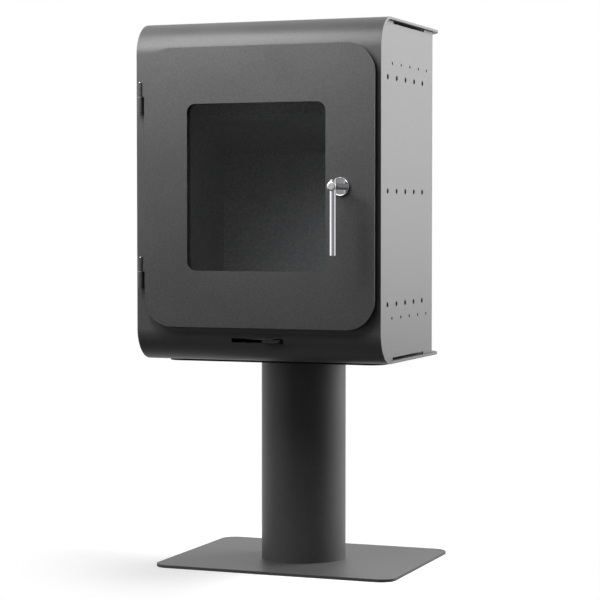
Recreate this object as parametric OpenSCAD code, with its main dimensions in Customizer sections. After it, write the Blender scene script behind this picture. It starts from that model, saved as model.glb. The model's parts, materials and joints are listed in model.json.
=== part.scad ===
// Wood burning stove on a round column: a steel body bent from one sheet, a glazed door hung on
// two barrel hinges, a brick lined fire chamber, an ash pan and an air slide.
// Millimetres, Z up. X runs to the right and Y to the rear, so the door faces -Y.
// The origin is on the column's axis, at the underside of the floor plate.

/* [Pedestal] */
// Width of the floor plate
floor_plate_w = 495; // [420:1:620]
// Depth of the floor plate
floor_plate_d = 380; // [320:1:480]
// Thickness of the floor plate
floor_plate_t = 6; // [4:0.5:12]
// Corner radius of the floor plate
floor_plate_r = 30; // [5:1:60]
// Outer diameter of the column, a standard steel tube
column_d = 168.3; // [130:0.1:180]
// Wall thickness of the column
column_wall = 4; // [3:0.5:8]
// Height of the column
column_h = 402; // [300:1:520]
// Distance from the column's axis back to the body's rear edge
column_rear_margin = 152; // [146:1:170]

/* [Mounting plate] */
// Margin at each side of the plate between the column and the body
mount_plate_side_margin = 24.5; // [10:0.5:60]
// Thickness of that plate
mount_plate_t = 5; // [4:0.5:10]
// Corner radius of that plate
mount_plate_r = 30; // [5:1:60]
// Distance from the body's front face back to that plate's front edge
mount_plate_front = 78; // [66:1:120]
// Margin of that plate inside the body's rear edge
mount_plate_rear_margin = 59; // [50:1:70]
// Shank diameter of the mounting bolts
bolt_d = 10; // [8:1:12]
// Distance between the mounting bolts across the body
bolt_spacing_x = 250; // [230:1:268]
// Distance between the mounting bolts front to back
bolt_spacing_y = 136; // [120:1:140]

/* [Body] */
// Width of the body
body_w = 495; // [460:1:600]
// Depth of the body's top and bottom
body_d = 404; // [389:1:450]
// Height of the body
body_h = 647; // [600:1:760]
// Thickness of the bent body sheet
sheet_t = 5; // [4:0.5:6]
// Outer radius of the body's two bends
bend_r = 60; // [50:1:60]
// Plan radius of the body's rear corners
rear_corner_r = 60; // [3:1:60]
// Thickness of the side panels
panel_t = 3; // [2:0.5:5]
// Depth that the body's edge stands out past the side panels
panel_inset = 7; // [3:0.5:12]
// Distance that the side panels stop short of the body's rear edge
panel_rear_setback = 64; // [60:1:80]
// Thickness of the rear panel
rear_panel_t = 2; // [1.5:0.5:3]
// Height of the air gap above and below the rear panel
rear_panel_gap = 8; // [6:1:20]

/* [Side openings] */
// Diameter of the large holes
big_hole_d = 10; // [6:0.5:14]
// Diameter of the small holes
small_hole_d = 6; // [3:0.5:10]
// Holes in each row
hole_count = 5; // [3:1:6]
// Distance from the body's front face to the first large hole
first_hole_y = 60; // [50:1:80]
// Distance from the last large hole back to the side panel's rear edge
last_hole_margin = 66.8; // [50:0.1:90]
// Distance from the body's top and underside to the outer rows of large holes
outer_row_margin = 111; // [95:0.5:160]
// Distance from an outer large row to its row of small holes
small_row_gap = 26.5; // [16:0.5:34]
// Distance from the body's front face to the slots above and below each side panel
side_slot_front = 92; // [80:1:110]
// Distance from those slots back to the side panel's rear edge
side_slot_rear_margin = 58; // [40:1:90]
// Height of those slots
side_slot_h = 5; // [3:0.5:8]

/* [Firebox] */
// Air gap between the firebox and each side panel
side_air_gap = 26.5; // [16:0.5:40]
// Air gap between the firebox and the rear panel
rear_air_gap = 42; // [30:1:60]
// Distance from the body's front face to the side linings
lining_front = 36; // [34:1:50]
// Thickness of the wall linings
lining_t = 30; // [20:1:40]
// Thickness of the floor lining
floor_lining_t = 25; // [20:1:34]
// Thickness of the firebox's steel walls
shell_t = 4; // [3:0.5:5]
// Height of the firebox's underside above the body's underside
shell_base = 88; // [82:1:96]
// Height of the ash pan's space
ash_space_h = 40; // [34:1:50]
// Thickness of the shelf under the floor lining
shelf_t = 4; // [3:0.5:6]
// Distance from the firebox's top down to the baffle's lowest line
baffle_drop = 184; // [170:1:220]
// Slope of the baffle, up towards the door
baffle_angle = 22; // [10:1:24]
// Thickness of the baffle
baffle_t = 25; // [15:1:30]
// Gap for the smoke between the baffle and the side linings' front edge
baffle_front_gap = 58; // [40:1:80]

/* [Grate and ash pan] */
// Width of the grate
grate_w = 200; // [140:1:260]
// Depth of the grate
grate_d = 150; // [100:1:170]
// Thickness of the grate
grate_t = 10; // [6:1:16]
// Number of slots in the grate
grate_slots = 8; // [5:1:9]
// Width of each slot in the grate
grate_slot_w = 9; // [5:0.5:12]
// Width of the ash pan
ash_pan_w = 300; // [220:1:380]
// Sheet thickness of the ash pan
ash_pan_t = 1.5; // [1:0.5:3]

/* [Flue] */
// Outer diameter of the flue spigot
flue_d = 150; // [120:1:150]
// Wall thickness of the flue spigot
flue_wall = 3; // [2:0.5:5]
// Length of the spigot behind the rear panel
flue_reach = 55; // [45:1:95]
// Width of the flue's bolting flange outside the spigot
flue_flange_w = 22; // [18:1:26]
// Thickness of the flue's flange
flue_flange_t = 4; // [3:0.5:6]

/* [Door] */
// Height from the body's underside up to the door plate
door_low = 66; // [58:1:80]
// Distance from the door plate up to the body's top
door_top_margin = 51; // [42:1:60]
// Distance from the body's left side to the door plate, with room for the hinges
door_left_margin = 22; // [20:0.5:26]
// Distance from the door plate to the body's right side
door_right_margin = 8.5; // [4:0.5:12]
// Thickness of the door plate
door_t = 5; // [4:0.5:6]
// Gap between the door plate and the body
door_gap = 8; // [7:0.5:10]
// Corner radius of the door plate
door_r = 55; // [30:1:60]
// Distance that the window, the fire opening and the seal are moved right from the body's middle
window_shift = 3.5; // [0:0.5:6]
// Distance from the door plate's upper and lower edges to the window
window_end_margin = 107; // [90:1:150]
// Corner radius of the window
window_r = 17; // [5:1:40]
// Sideways gap between the glass and the latch's bush
glass_bush_gap = 8.5; // [4:0.5:30]
// Width that the glass laps behind the door plate
glass_lap = 13; // [10:1:16]
// Thickness of the glass
glass_t = 4; // [3:0.5:5]
// Thickness of the tape gasket under the glass
gasket_t = 2; // [1:0.5:2.5]
// Width of the tape gasket
gasket_w = 7; // [5:0.5:10]
// Sideways gap between the fire opening and the firebox's right wall
opening_side_gap = 0.5; // [0.5:0.5:5]
// Corner radius of the fire opening
opening_r = 20; // [5:1:40]
// Distance from the fire opening's edge to the middle of the rope seal
rope_margin = 11; // [10:0.5:13]
// Width of the rope seal
rope_w = 9; // [6:0.5:10]

/* [Hinges] */
// Outer diameter of the hinge barrels
barrel_d = 9.5; // [8:0.1:9.5]
// Diameter of the hinge pins
hinge_pin_d = 5; // [4:0.1:5]
// Length of the fixed knuckles
fixed_knuckle_l = 31; // [26:0.5:40]
// Length of the door's knuckles
door_knuckle_l = 26.5; // [24:0.5:40]
// Thickness of the bearing washers
washer_t = 1; // [0.5:0.1:2]
// Gap between a barrel and the door plate's edge
barrel_gap = 5; // [4:0.1:6]
// Distance from the door plate's lower edge up to the lower hinge
low_hinge_offset = 73; // [60:1:110]
// Distance from the door plate's upper edge down to the upper hinge
high_hinge_offset = 65; // [60:1:110]
// Width of the door plate's ears beside its knuckles
ear_w = 3; // [2:0.5:4]

/* [Handle and latch] */
// Diameter of the handle's stem
stem_d = 12; // [10:0.5:13]
// Diameter of the upright bar
bar_d = 12; // [10:0.5:16]
// Length of the bar below the stem's axis
bar_drop = 127; // [90:1:160]
// Length of the bar above the stem's axis
bar_rise = 12; // [10:1:20]
// Distance from the door's face to the bar's axis
bar_reach = 44; // [36:1:60]
// Diameter of the domed screw head in front of the bar
cap_d = 18; // [12:1:22]
// Diameter of the rosette on the door
rosette_d = 34; // [28:1:40]
// Thickness of the rosette
rosette_t = 4; // [3:0.5:6]
// Radius from the stem's axis to the tongue's tip
tongue_reach = 20; // [19:0.5:24]
// Thickness of the tongue
tongue_t = 6; // [4:0.5:6]
// Diameter of the keeper pin
keeper_pin_d = 8; // [6:0.5:8]
// Gap between the keeper pin and the firebox's side wall
keeper_wall_gap = 4.1; // [3:0.1:8]

/* [Air control] */
// Width of the slot for the air lever
air_slot_w = 106; // [96:1:120]
// Height of that slot
air_slot_h = 8; // [7:0.5:12]
// Height of the slot's middle above the body's underside
air_slot_z = 41.3; // [38:0.1:46]
// Sideways place of the slot's middle
air_slot_x = 0.5; // [-10:0.5:10]
// Width of the air lever
lever_w = 34; // [30:1:38]
// Thickness of the air lever
lever_h = 6; // [5.5:0.5:6.5]
// Length of the lever in front of the body
lever_reach = 14; // [11:1:20]
// Thickness of the air slide
slide_t = 3; // [2:0.5:4]
// Diameter of the two air ports
port_d = 44; // [30:1:46]

/* [Hidden] */

$fn = 96;

// Colours
anthracite = "#4b4a4b";
blackened = "#1d1d1e";
lining_grey = "#5a5856";
polished = "#d8d9da";
zinc = "#b4b6b8";
fibre = "#33312f";
glass_grey = "#3a3d40";

// Length that a cut runs past a face
over = 1;
// Play of two pieces that turn or slide in each other, on each side
running_gap = 0.05;
// Play of two fixed pieces that fit in each other, on each side
snug_gap = 0.02;
// Play between bodies that pass each other
pass_gap = 0.3;

// Hexagon bolts: height of the head, height of the nut and width across the flats, by diameter
bolt_head_share = 0.64;
bolt_nut_share = 0.8;
bolt_flats_share = 1.7;

// Mounting bolts
bolt_play = 0.5;
bolt_end = 3;
bolt_hole_d = bolt_d + 2 * bolt_play;
bolt_head_t = bolt_d * bolt_head_share;
bolt_nut_t = bolt_d * bolt_nut_share;
bolt_corners = bolt_d * bolt_flats_share / cos(30);

// Body
body_base = floor_plate_t + column_h + mount_plate_t;
column_setback = body_d - column_rear_margin;
panel_x = body_w / 2 - panel_inset - panel_t;
panel_rear = body_d - panel_rear_setback;
panel_edge_gap = 0.2;
hole_pitch = (panel_rear - first_hole_y - last_hole_margin) / (hole_count - 1);
big_row_offset = body_h / 2 - outer_row_margin;
side_slot_l = panel_rear - side_slot_front - side_slot_rear_margin;

// Vents in the rear panel
rear_vent_w = 60;
rear_vent_h = 6;
rear_vent_columns = 5;
rear_vent_rows = 3;
rear_vent_pitch_x = 80;
rear_vent_pitch_z = 24;
rear_vent_rise = 67;

// Firebox, with depths from the body's front face and heights from the body's underside
shell_in_w = 2 * (panel_x - side_air_gap - shell_t);
shell_out_w = shell_in_w + 2 * shell_t;
shell_rear = panel_rear - rear_panel_t - rear_air_gap;
shell_rear_in = shell_rear - shell_t;
shell_top = body_h - bend_r;
shelf_z = shell_base + shell_t + ash_space_h;
lining_base = shelf_z + shelf_t;
floor_lining_front = 12;
chamber_floor = lining_base + floor_lining_t;
chamber_w = shell_in_w - 2 * lining_t;
rear_face = shell_rear_in - lining_t;
chamber_d = rear_face - lining_front;
inlet_w = 200;
inlet_d = 26;
inlet_margin = 8;
inlet_y = shell_rear_in - inlet_d - inlet_margin;
leg_w = 30;
leg_t = 4;
leg_x = 165;

// Baffle
baffle_low = shell_top - baffle_drop;
baffle_front = lining_front + baffle_front_gap;
baffle_play = 1;

// Grate and ash pan
grate_y = lining_front + chamber_d / 2;
grate_step = 10;
grate_play = 0.5;
grate_border = 12;
ash_pan_front = 14;
ash_pan_rear_gap = 22;
ash_pan_d = inlet_y - ash_pan_rear_gap - ash_pan_front;
ash_pan_headroom = 4;
ash_pan_h = ash_space_h - ash_pan_headroom;
pull_w = 70;
pull_d = 8;
pull_rise = 21.6;

// Flue
flue_top_gap = 8;
flue_z = shell_top - shell_t - flue_top_gap - flue_d / 2;
flue_panel_gap = 10;
flue_bolt_d = 6;
flue_flange_d = flue_d + 2 * flue_flange_w;
flue_pcd = flue_d + flue_flange_w;

// Door
door_w = body_w - door_left_margin - door_right_margin;
door_h = body_h - door_low - door_top_margin;
plate_shift = (door_left_margin - door_right_margin) / 2 - window_shift;
door_z = door_low + door_h / 2;
door_back = -door_gap;
door_front = -door_gap - door_t;
door_left = plate_shift - door_w / 2;

// Latch, from the firebox's side wall to the handle's stem, in the door's frame
keeper_gap = 0.9;
keeper_half = 14;
keeper_x = shell_in_w / 2 - window_shift - keeper_wall_gap - keeper_pin_d / 2;
ear_t = 4;
ear_wall = 2;
ear_depth = keeper_pin_d + 2 * ear_wall;
keeper_y = sheet_t + ear_depth / 2;
handle_x = keeper_x - keeper_pin_d / 2 - keeper_gap - tongue_reach;
bush_wall = 3;
bush_d = stem_d + 2 * bush_wall;
bush_end = 13;
tongue_y = bush_end + pass_gap;
tongue_nose_r = 7;
hub_lip = 1;

// Window and fire opening
window_w = 2 * (handle_x - bush_d / 2 - glass_bush_gap - glass_lap);
window_h = door_h - 2 * window_end_margin;
glass_w = window_w + 2 * glass_lap;
glass_h = window_h + 2 * glass_lap;
glass_y = door_back + gasket_t;
opening_w = shell_in_w - 2 * window_shift - 2 * opening_side_gap;
opening_h = 2 * (door_z - shell_base - shell_t);

// Rope seal and the two strips that hold it
rope_play = 0.4;
rope_t = door_gap - rope_play;
rope_ring_w = opening_w + 2 * rope_margin;
rope_ring_h = opening_h + 2 * rope_margin;
rope_ring_r = opening_r + rope_margin;
channel_t = 1.5;
channel_h = 4;

// Glass retainers and their screws
screw_d = 5;
screw_head_d = 9;
screw_head_t = 3;
screw_grip = 4;
screw_inset = 20;
retainer_t = 3;
retainer_w = 22;
retainer_y = glass_y + glass_t;
glass_grip = 8;
clip_z = 90;
clip_h = 26;
boss_d = 10;
boss_gap = 0.5;
boss_t = retainer_y - door_back;
boss_out = boss_gap + boss_d / 2;

// Hinges, in the door's frame
barrel_r = barrel_d / 2;
hinge_x = door_left - barrel_gap - barrel_r;
hinge_y = door_front + door_t / 2;
washer_play = 0.1;
hinge_l = fixed_knuckle_l + washer_t + washer_play + door_knuckle_l;
hinge_bases = [
    -door_h / 2 + low_hinge_offset,
    door_h / 2 - high_hinge_offset - hinge_l
];
knuckle_foot_inset = 0.5;
pin_seat = 22;
pin_tip = 1.5;

// Handle
rod_y = door_front - bar_reach;
rosette_bevel = 1.5;
bar_chamfer = 0.8;
cap_t = 4;
cap_rim = 1.5;
cap_screw_d = 6;
cap_screw_grip = 6;
cap_screw_hole_end = 2;
square_margin = 0.1;
square_w = stem_d / sqrt(2) - square_margin;
stud_step = 0.4;
stud_d = square_w - stud_step;
stud_end = 2;
nut_wall = 2.5;
nut_w = stud_d + 2 * nut_wall;
nut_t = 6.5;

// Air control
lever_side_gap = 4;
lever_end_gap = 2;
lever_x = air_slot_x + air_slot_w / 2 - lever_side_gap - lever_w / 2;
lever_corner_r = 3;
lever_front_h = 1.4;
lever_flat = 1.5;
lever_in = 5;
lever_nose = 10;
slide_travel = air_slot_w - lever_w - lever_side_gap - lever_end_gap;
slide_z = air_slot_z - slide_t / 2;
slide_d = 120;
port_x = slide_travel;
port_y = 120;
port_margin = 8;
slide_front = port_y - slide_d / 2;
slide_edge = port_d / 2 + port_margin;
arm_inset = 4;
arm_w = lever_w - 2 * arm_inset;
arm_front = lever_nose - lever_reach;
arm_clear = 2;
air_box_t = 3;
air_box_margin = 10;
air_box_w = 2 * (port_x + slide_edge + air_box_margin);
air_box_front = 40;
air_box_d = shell_rear_in - air_box_front;
air_box_base = air_slot_z + slide_t / 2 + pass_gap;
rail_t = 3;
rail_lip = 8;
rail_end = 3;
rail_l = 2 * (2 * port_x + slide_edge + rail_end);

// Places its children in the body's frame: on the front face, at the underside
module in_body() {
    translate([0, -column_setback, body_base]) children();
}

// Places its children in the door's frame: on the body's front face, at the window's middle
module in_door() {
    in_body() translate([window_shift, 0, door_z]) children();
}

// Rectangle about the origin with round corners
module rounded_rect(w, h, r) {
    square([w - 2 * r, h], center = true);
    square([w, h - 2 * r], center = true);
    for (x = [-1, 1]) {
        for (y = [-1, 1]) {
            translate([x * (w / 2 - r), y * (h / 2 - r)]) circle(r);
        }
    }
}

// Round cornered frame about the origin, each side of it band wide inside its outer size
module frame_rect(w, h, r, band) {
    difference() {
        rounded_rect(w, h, r);
        rounded_rect(w - 2 * band, h - 2 * band, r - band);
    }
}

// Stands a drawing up in the X-Z plane, from y back by t
module upright(y, t) {
    translate([0, y + t, 0]) rotate([90, 0, 0]) linear_extrude(t) children();
}

// Stands a Y-Z drawing up and draws it out along X from x by w
module crosswise(x, w) {
    translate([x, 0, 0]) rotate([90, 0, 90]) linear_extrude(w) children();
}

// Round rod along Y from y back by l
module rod(d, y, l) {
    translate([0, y, 0]) rotate([-90, 0, 0]) cylinder(d = d, h = l);
}

// Box from its lowest corner, with its width centred on X
module centred_box(w, y, z, d, h) {
    translate([-w / 2, y, z]) cube([w, d, h]);
}

// Side view of the body's bent sheet, or of the space inside it
module wrap_outline(inset, rear, corner_r) {
    for (z = [bend_r, body_h - bend_r]) {
        translate([bend_r, z]) circle(corner_r);
    }
    translate([inset, bend_r]) square([bend_r - inset, body_h - 2 * bend_r]);
    translate([bend_r, inset]) square([rear - bend_r, body_h - 2 * inset]);
}

// ---- Pedestal ----

module floor_plate() {
    color(anthracite) linear_extrude(floor_plate_t)
        rounded_rect(floor_plate_w, floor_plate_d, floor_plate_r);
}

module column() {
    color(anthracite) translate([0, 0, floor_plate_t]) difference() {
        cylinder(d = column_d, h = column_h);
        translate([0, 0, -over]) cylinder(d = column_d - 2 * column_wall, h = column_h + 2 * over);
    }
}

// Places its children at the four mounting bolts, on the body's underside
module at_bolts() {
    for (x = [-1, 1]) {
        for (y = [-1, 1]) {
            translate([x * bolt_spacing_x / 2, y * bolt_spacing_y / 2, body_base]) children();
        }
    }
}

module mounting_plate() {
    plate_w = body_w - 2 * mount_plate_side_margin;
    plate_d = body_d - mount_plate_rear_margin - mount_plate_front;
    plate_y = mount_plate_front + plate_d / 2 - column_setback;
    color(blackened) difference() {
        translate([0, plate_y, body_base - mount_plate_t]) linear_extrude(mount_plate_t)
            rounded_rect(plate_w, plate_d, mount_plate_r);
        at_bolts() translate([0, 0, -mount_plate_t - over])
            cylinder(d = bolt_hole_d, h = mount_plate_t + 2 * over);
    }
}

module mounting_bolts() {
    shank_l = mount_plate_t + sheet_t + bolt_nut_t + bolt_end;
    color(zinc) at_bolts() {
        translate([0, 0, -mount_plate_t]) cylinder(d = bolt_d, h = shank_l);
        translate([0, 0, -mount_plate_t - bolt_head_t])
            cylinder(d = bolt_corners, h = bolt_head_t, $fn = 6);
    }
}

module mounting_nuts() {
    color(zinc) at_bolts() translate([0, 0, sheet_t]) difference() {
        cylinder(d = bolt_corners, h = bolt_nut_t, $fn = 6);
        translate([0, 0, -over]) cylinder(d = bolt_d + 2 * snug_gap, h = bolt_nut_t + 2 * over);
    }
}

// ---- Body ----

// Plan of the body, with its rear corners rounded
module body_plan() {
    translate([-body_w / 2, 0]) square([body_w, body_d - rear_corner_r]);
    translate([-body_w / 2 + rear_corner_r, 0]) square([body_w - 2 * rear_corner_r, body_d]);
    for (x = [-1, 1]) {
        translate([x * (body_w / 2 - rear_corner_r), body_d - rear_corner_r]) circle(rear_corner_r);
    }
}

module outer_wrap() {
    color(anthracite) difference() {
        in_body() difference() {
            intersection() {
                crosswise(-body_w / 2, body_w) difference() {
                    wrap_outline(0, body_d, bend_r);
                    wrap_outline(sheet_t, body_d + over, bend_r - sheet_t);
                }
                linear_extrude(body_h) body_plan();
            }
            translate([window_shift, 0, door_z]) upright(-over, sheet_t + 2 * over)
                rounded_rect(opening_w, opening_h, opening_r);
            translate([air_slot_x, 0, 0])
                centred_box(air_slot_w, -over, air_slot_z - air_slot_h / 2, bend_r / 2, air_slot_h);
        }
        at_bolts() translate([0, 0, -over]) cylinder(d = bolt_hole_d, h = sheet_t + 2 * over);
    }
}

// Y-Z places of the holes of one row: its height and how far it is moved back
module hole_row(z, y_shift, d) {
    for (i = [0 : hole_count - 1]) {
        translate([first_hole_y + y_shift + i * hole_pitch, z]) circle(d = d);
    }
}

// Side view of a side panel: it fills the body's profile and leaves a slot above and below
module side_panel_outline() {
    middle = body_h / 2;
    difference() {
        wrap_outline(sheet_t, panel_rear, bend_r - sheet_t - panel_edge_gap);
        translate([side_slot_front, sheet_t - over]) square([side_slot_l, side_slot_h + over]);
        translate([side_slot_front, body_h - sheet_t - side_slot_h])
            square([side_slot_l, side_slot_h + over]);
        for (z = [-big_row_offset, 0, big_row_offset]) {
            hole_row(middle + z, 0, big_hole_d);
        }
        for (side = [-1, 1]) {
            hole_row(middle + side * (big_row_offset + small_row_gap), hole_pitch / 2, small_hole_d);
        }
    }
}

module left_side_panel() {
    color(anthracite) in_body() crosswise(-panel_x - panel_t, panel_t) side_panel_outline();
}

module right_side_panel() {
    color(anthracite) in_body() crosswise(panel_x, panel_t) side_panel_outline();
}

module rear_panel() {
    low = sheet_t + rear_panel_gap;
    high = body_h - sheet_t - rear_panel_gap;
    color(anthracite) in_body() upright(panel_rear - rear_panel_t, rear_panel_t) difference() {
        translate([-panel_x, low]) square([2 * panel_x, high - low]);
        translate([0, flue_z]) circle(d = flue_d + 2 * flue_panel_gap);
        for (i = [0 : rear_vent_columns - 1]) {
            x = (i - (rear_vent_columns - 1) / 2) * rear_vent_pitch_x;
            for (row = [0 : rear_vent_rows - 1]) {
                translate([x, low + rear_vent_rise + row * rear_vent_pitch_z])
                    square([rear_vent_w, rear_vent_h], center = true);
            }
        }
    }
}

// ---- Firebox ----

module firebox_shell() {
    color(blackened) in_body() difference() {
        centred_box(shell_out_w, sheet_t, shell_base, shell_rear - sheet_t, shell_top - shell_base);
        centred_box(shell_in_w, sheet_t - over, shell_base + shell_t,
            shell_rear_in - sheet_t + over, shell_top - shell_base - 2 * shell_t);
        translate([0, 0, flue_z]) rod(flue_d - 2 * flue_wall, shell_rear_in - over, shell_t + 2 * over);
        centred_box(inlet_w, inlet_y, shell_base - over, inlet_d, shell_t + 2 * over);
        translate([0, 0, flue_z]) at_flue_bolts()
            rod(flue_bolt_d + 2 * snug_gap, shell_rear_in - over, shell_t + 2 * over);
    }
}

// Angle section legs that carry the rear of the firebox on the body's bottom
module support_legs() {
    color(blackened) in_body() for (side = [-1, 1]) {
        translate([side * leg_x, shell_rear - leg_w, sheet_t]) linear_extrude(shell_base - sheet_t) {
            translate([-leg_t / 2, 0]) square([leg_t, leg_w]);
            translate([-leg_w / 2, leg_w - leg_t]) square([leg_w, leg_t]);
        }
    }
}

module grate_shelf() {
    color(blackened) in_body() difference() {
        centred_box(shell_in_w, sheet_t, shelf_z, shell_rear_in - sheet_t, shelf_t);
        centred_box(grate_w - 2 * grate_step, grate_y - grate_d / 2 + grate_step, shelf_z - over,
            grate_d - 2 * grate_step, shelf_t + 2 * over);
    }
}

module floor_lining() {
    color(lining_grey) in_body() difference() {
        centred_box(shell_in_w, floor_lining_front, lining_base,
            shell_rear_in - floor_lining_front, floor_lining_t);
        centred_box(grate_w - 2 * grate_step, grate_y - grate_d / 2 + grate_step, lining_base - over,
            grate_d - 2 * grate_step, floor_lining_t + 2 * over);
        centred_box(grate_w, grate_y - grate_d / 2, chamber_floor - grate_t, grate_d, grate_t + over);
    }
}

// Height of the baffle's underside at a distance y behind the body's front face
function baffle_under(y) = baffle_low + (rear_face - y) * tan(baffle_angle);

// Side lining: a slab whose top slopes to carry the baffle
module side_lining(x) {
    color(lining_grey) in_body() crosswise(x, lining_t) polygon([
        [lining_front, chamber_floor],
        [rear_face, chamber_floor],
        [rear_face, baffle_low],
        [baffle_front, baffle_under(baffle_front)],
        [lining_front, baffle_under(baffle_front)]
    ]);
}

module left_lining() {
    side_lining(-chamber_w / 2 - lining_t);
}

module right_lining() {
    side_lining(chamber_w / 2);
}

module rear_lining() {
    color(lining_grey) in_body() crosswise(-shell_in_w / 2, shell_in_w) polygon([
        [rear_face, chamber_floor],
        [shell_rear_in, chamber_floor],
        [shell_rear_in, baffle_under(shell_rear_in)],
        [rear_face, baffle_low]
    ]);
}

module baffle() {
    upright_t = baffle_t / cos(baffle_angle);
    rear = shell_rear_in - baffle_play;
    w = shell_in_w - 2 * baffle_play;
    color(lining_grey) in_body() crosswise(-w / 2, w) polygon([
        [baffle_front, baffle_under(baffle_front)],
        [rear, baffle_under(rear)],
        [rear, baffle_under(rear) + upright_t],
        [baffle_front, baffle_under(baffle_front) + upright_t]
    ]);
}

module grate() {
    slot_pitch = (grate_w - 2 * grate_border) / grate_slots;
    slot_l = grate_d - 2 * grate_border;
    color(blackened) in_body() translate([0, grate_y, chamber_floor - grate_t])
        linear_extrude(grate_t) difference() {
            square([grate_w - 2 * grate_play, grate_d - 2 * grate_play], center = true);
            for (i = [0 : grate_slots - 1]) {
                translate([(i - (grate_slots - 1) / 2) * slot_pitch, 0]) {
                    square([grate_slot_w, slot_l - grate_slot_w], center = true);
                    for (y = [-1, 1]) {
                        translate([0, y * (slot_l - grate_slot_w) / 2]) circle(d = grate_slot_w);
                    }
                }
            }
        }
}

module ash_pan() {
    base = shell_base + shell_t;
    color(blackened) in_body() {
        difference() {
            centred_box(ash_pan_w, ash_pan_front, base, ash_pan_d, ash_pan_h);
            centred_box(ash_pan_w - 2 * ash_pan_t, ash_pan_front + ash_pan_t, base + ash_pan_t,
                ash_pan_d - 2 * ash_pan_t, ash_pan_h);
        }
        centred_box(pull_w, ash_pan_front - pull_d, base + pull_rise, pull_d + ash_pan_t / 2, ash_pan_t);
    }
}

// ---- Flue ----

// Places its children at the four bolts of the flue's flange
module at_flue_bolts() {
    for (a = [45 : 90 : 315]) {
        translate([cos(a) * flue_pcd / 2, 0, sin(a) * flue_pcd / 2]) children();
    }
}

module flue_spigot() {
    tube_l = panel_rear + flue_reach - shell_rear;
    color(blackened) in_body() translate([0, 0, flue_z]) difference() {
        union() {
            rod(flue_flange_d, shell_rear, flue_flange_t);
            rod(flue_d, shell_rear, tube_l);
        }
        rod(flue_d - 2 * flue_wall, shell_rear - over, tube_l + 2 * over);
        at_flue_bolts() rod(flue_bolt_d + 2 * snug_gap, shell_rear - over, flue_flange_t + 2 * over);
    }
}

module flue_bolts() {
    head_d = flue_bolt_d * bolt_flats_share / cos(30);
    color(zinc) in_body() translate([0, 0, flue_z]) at_flue_bolts() {
        rod(flue_bolt_d, shell_rear_in, shell_t + flue_flange_t);
        translate([0, shell_rear + flue_flange_t, 0]) rotate([-90, 0, 0])
            cylinder(d = head_d, h = flue_bolt_d * bolt_head_share, $fn = 6);
    }
}

// ---- Air supply ----

module air_box() {
    color(blackened) in_body() difference() {
        centred_box(air_box_w, air_box_front, air_box_base, air_box_d, shell_base - air_box_base);
        centred_box(air_box_w - 2 * air_box_t, air_box_front + air_box_t, air_box_base + air_box_t,
            air_box_d - 2 * air_box_t, shell_base);
        for (side = [-1, 1]) {
            translate([side * port_x, port_y, air_box_base - over])
                cylinder(d = port_d, h = air_box_t + 2 * over);
        }
    }
}

// One guide rail: an upright strip beside the slide and a lip under it
module rail_outline() {
    lip_top = slide_z - pass_gap;
    translate([-rail_t, lip_top - rail_t]) square([rail_t, air_box_base - lip_top + rail_t]);
    translate([-rail_t, lip_top - rail_t]) square([rail_t + rail_lip, rail_t]);
}

module slide_rails() {
    gap_w = slide_travel + arm_w + 2 * arm_clear;
    color(blackened) in_body() difference() {
        union() {
            crosswise(-rail_l / 2, rail_l) translate([slide_front - pass_gap, 0]) rail_outline();
            crosswise(-rail_l / 2, rail_l) translate([slide_front + slide_d + pass_gap, 0])
                mirror([1, 0]) rail_outline();
        }
        translate([lever_x - slide_travel / 2, 0, 0])
            centred_box(gap_w, 0, slide_z - pass_gap, slide_front, air_box_base);
    }
}

// The slide: a plate with two ports, which line up with the box's ports when it is fully open
module air_slide() {
    left = -port_x - slide_edge;
    right = 2 * port_x + slide_edge;
    color(blackened) in_body() translate([0, 0, slide_z]) linear_extrude(slide_t) difference() {
        union() {
            translate([left, slide_front]) square([right - left, slide_d]);
            translate([lever_x - arm_w / 2, arm_front]) square([arm_w, slide_front - arm_front + over]);
        }
        for (side = [-1, 1]) {
            translate([side * port_x, port_y]) circle(d = port_d);
        }
    }
}

// Lever that slopes down to its front edge, with the slide's arm set in its rear
module air_lever() {
    front = -lever_reach;
    low = air_slot_z - lever_h / 2;
    color(blackened) in_body() translate([lever_x, 0, 0]) difference() {
        intersection() {
            crosswise(-lever_w / 2, lever_w) polygon([
                [lever_in, low],
                [lever_in, low + lever_h],
                [-lever_flat, low + lever_h],
                [front, low + lever_front_h],
                [front, low]
            ]);
            linear_extrude(body_h) translate([0, (front + lever_in + lever_corner_r) / 2])
                rounded_rect(lever_w, lever_in + lever_corner_r - front, lever_corner_r);
        }
        centred_box(arm_w, arm_front, slide_z, lever_in - arm_front + over, slide_t);
    }
}

// ---- Latch keeper, on the firebox's side wall ----

// Places its children at the handle's axis, on the body's front face
module at_handle() {
    in_door() translate([handle_x, 0, 0]) children();
}

module latch_keeper() {
    ear_left = keeper_x - ear_depth / 2;
    ear_right = shell_in_w / 2 - window_shift;
    color(blackened) in_door() difference() {
        for (side = [-1, 1]) {
            translate([ear_left, sheet_t, side * (keeper_half + ear_t / 2) - ear_t / 2])
                cube([ear_right - ear_left, ear_depth, ear_t]);
        }
        translate([keeper_x, keeper_y, -keeper_half - ear_t - over])
            cylinder(d = keeper_pin_d + 2 * snug_gap, h = 2 * (keeper_half + ear_t + over));
    }
}

module keeper_pin() {
    color(zinc) in_door() translate([keeper_x, keeper_y, -keeper_half - ear_t])
        cylinder(d = keeper_pin_d, h = 2 * (keeper_half + ear_t));
}

// ---- Hinges ----

// Places its children on each hinge's axis, at the hinge's lower end
module at_hinges() {
    for (z = hinge_bases) {
        in_door() translate([hinge_x, hinge_y, z]) children();
    }
}

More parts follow.
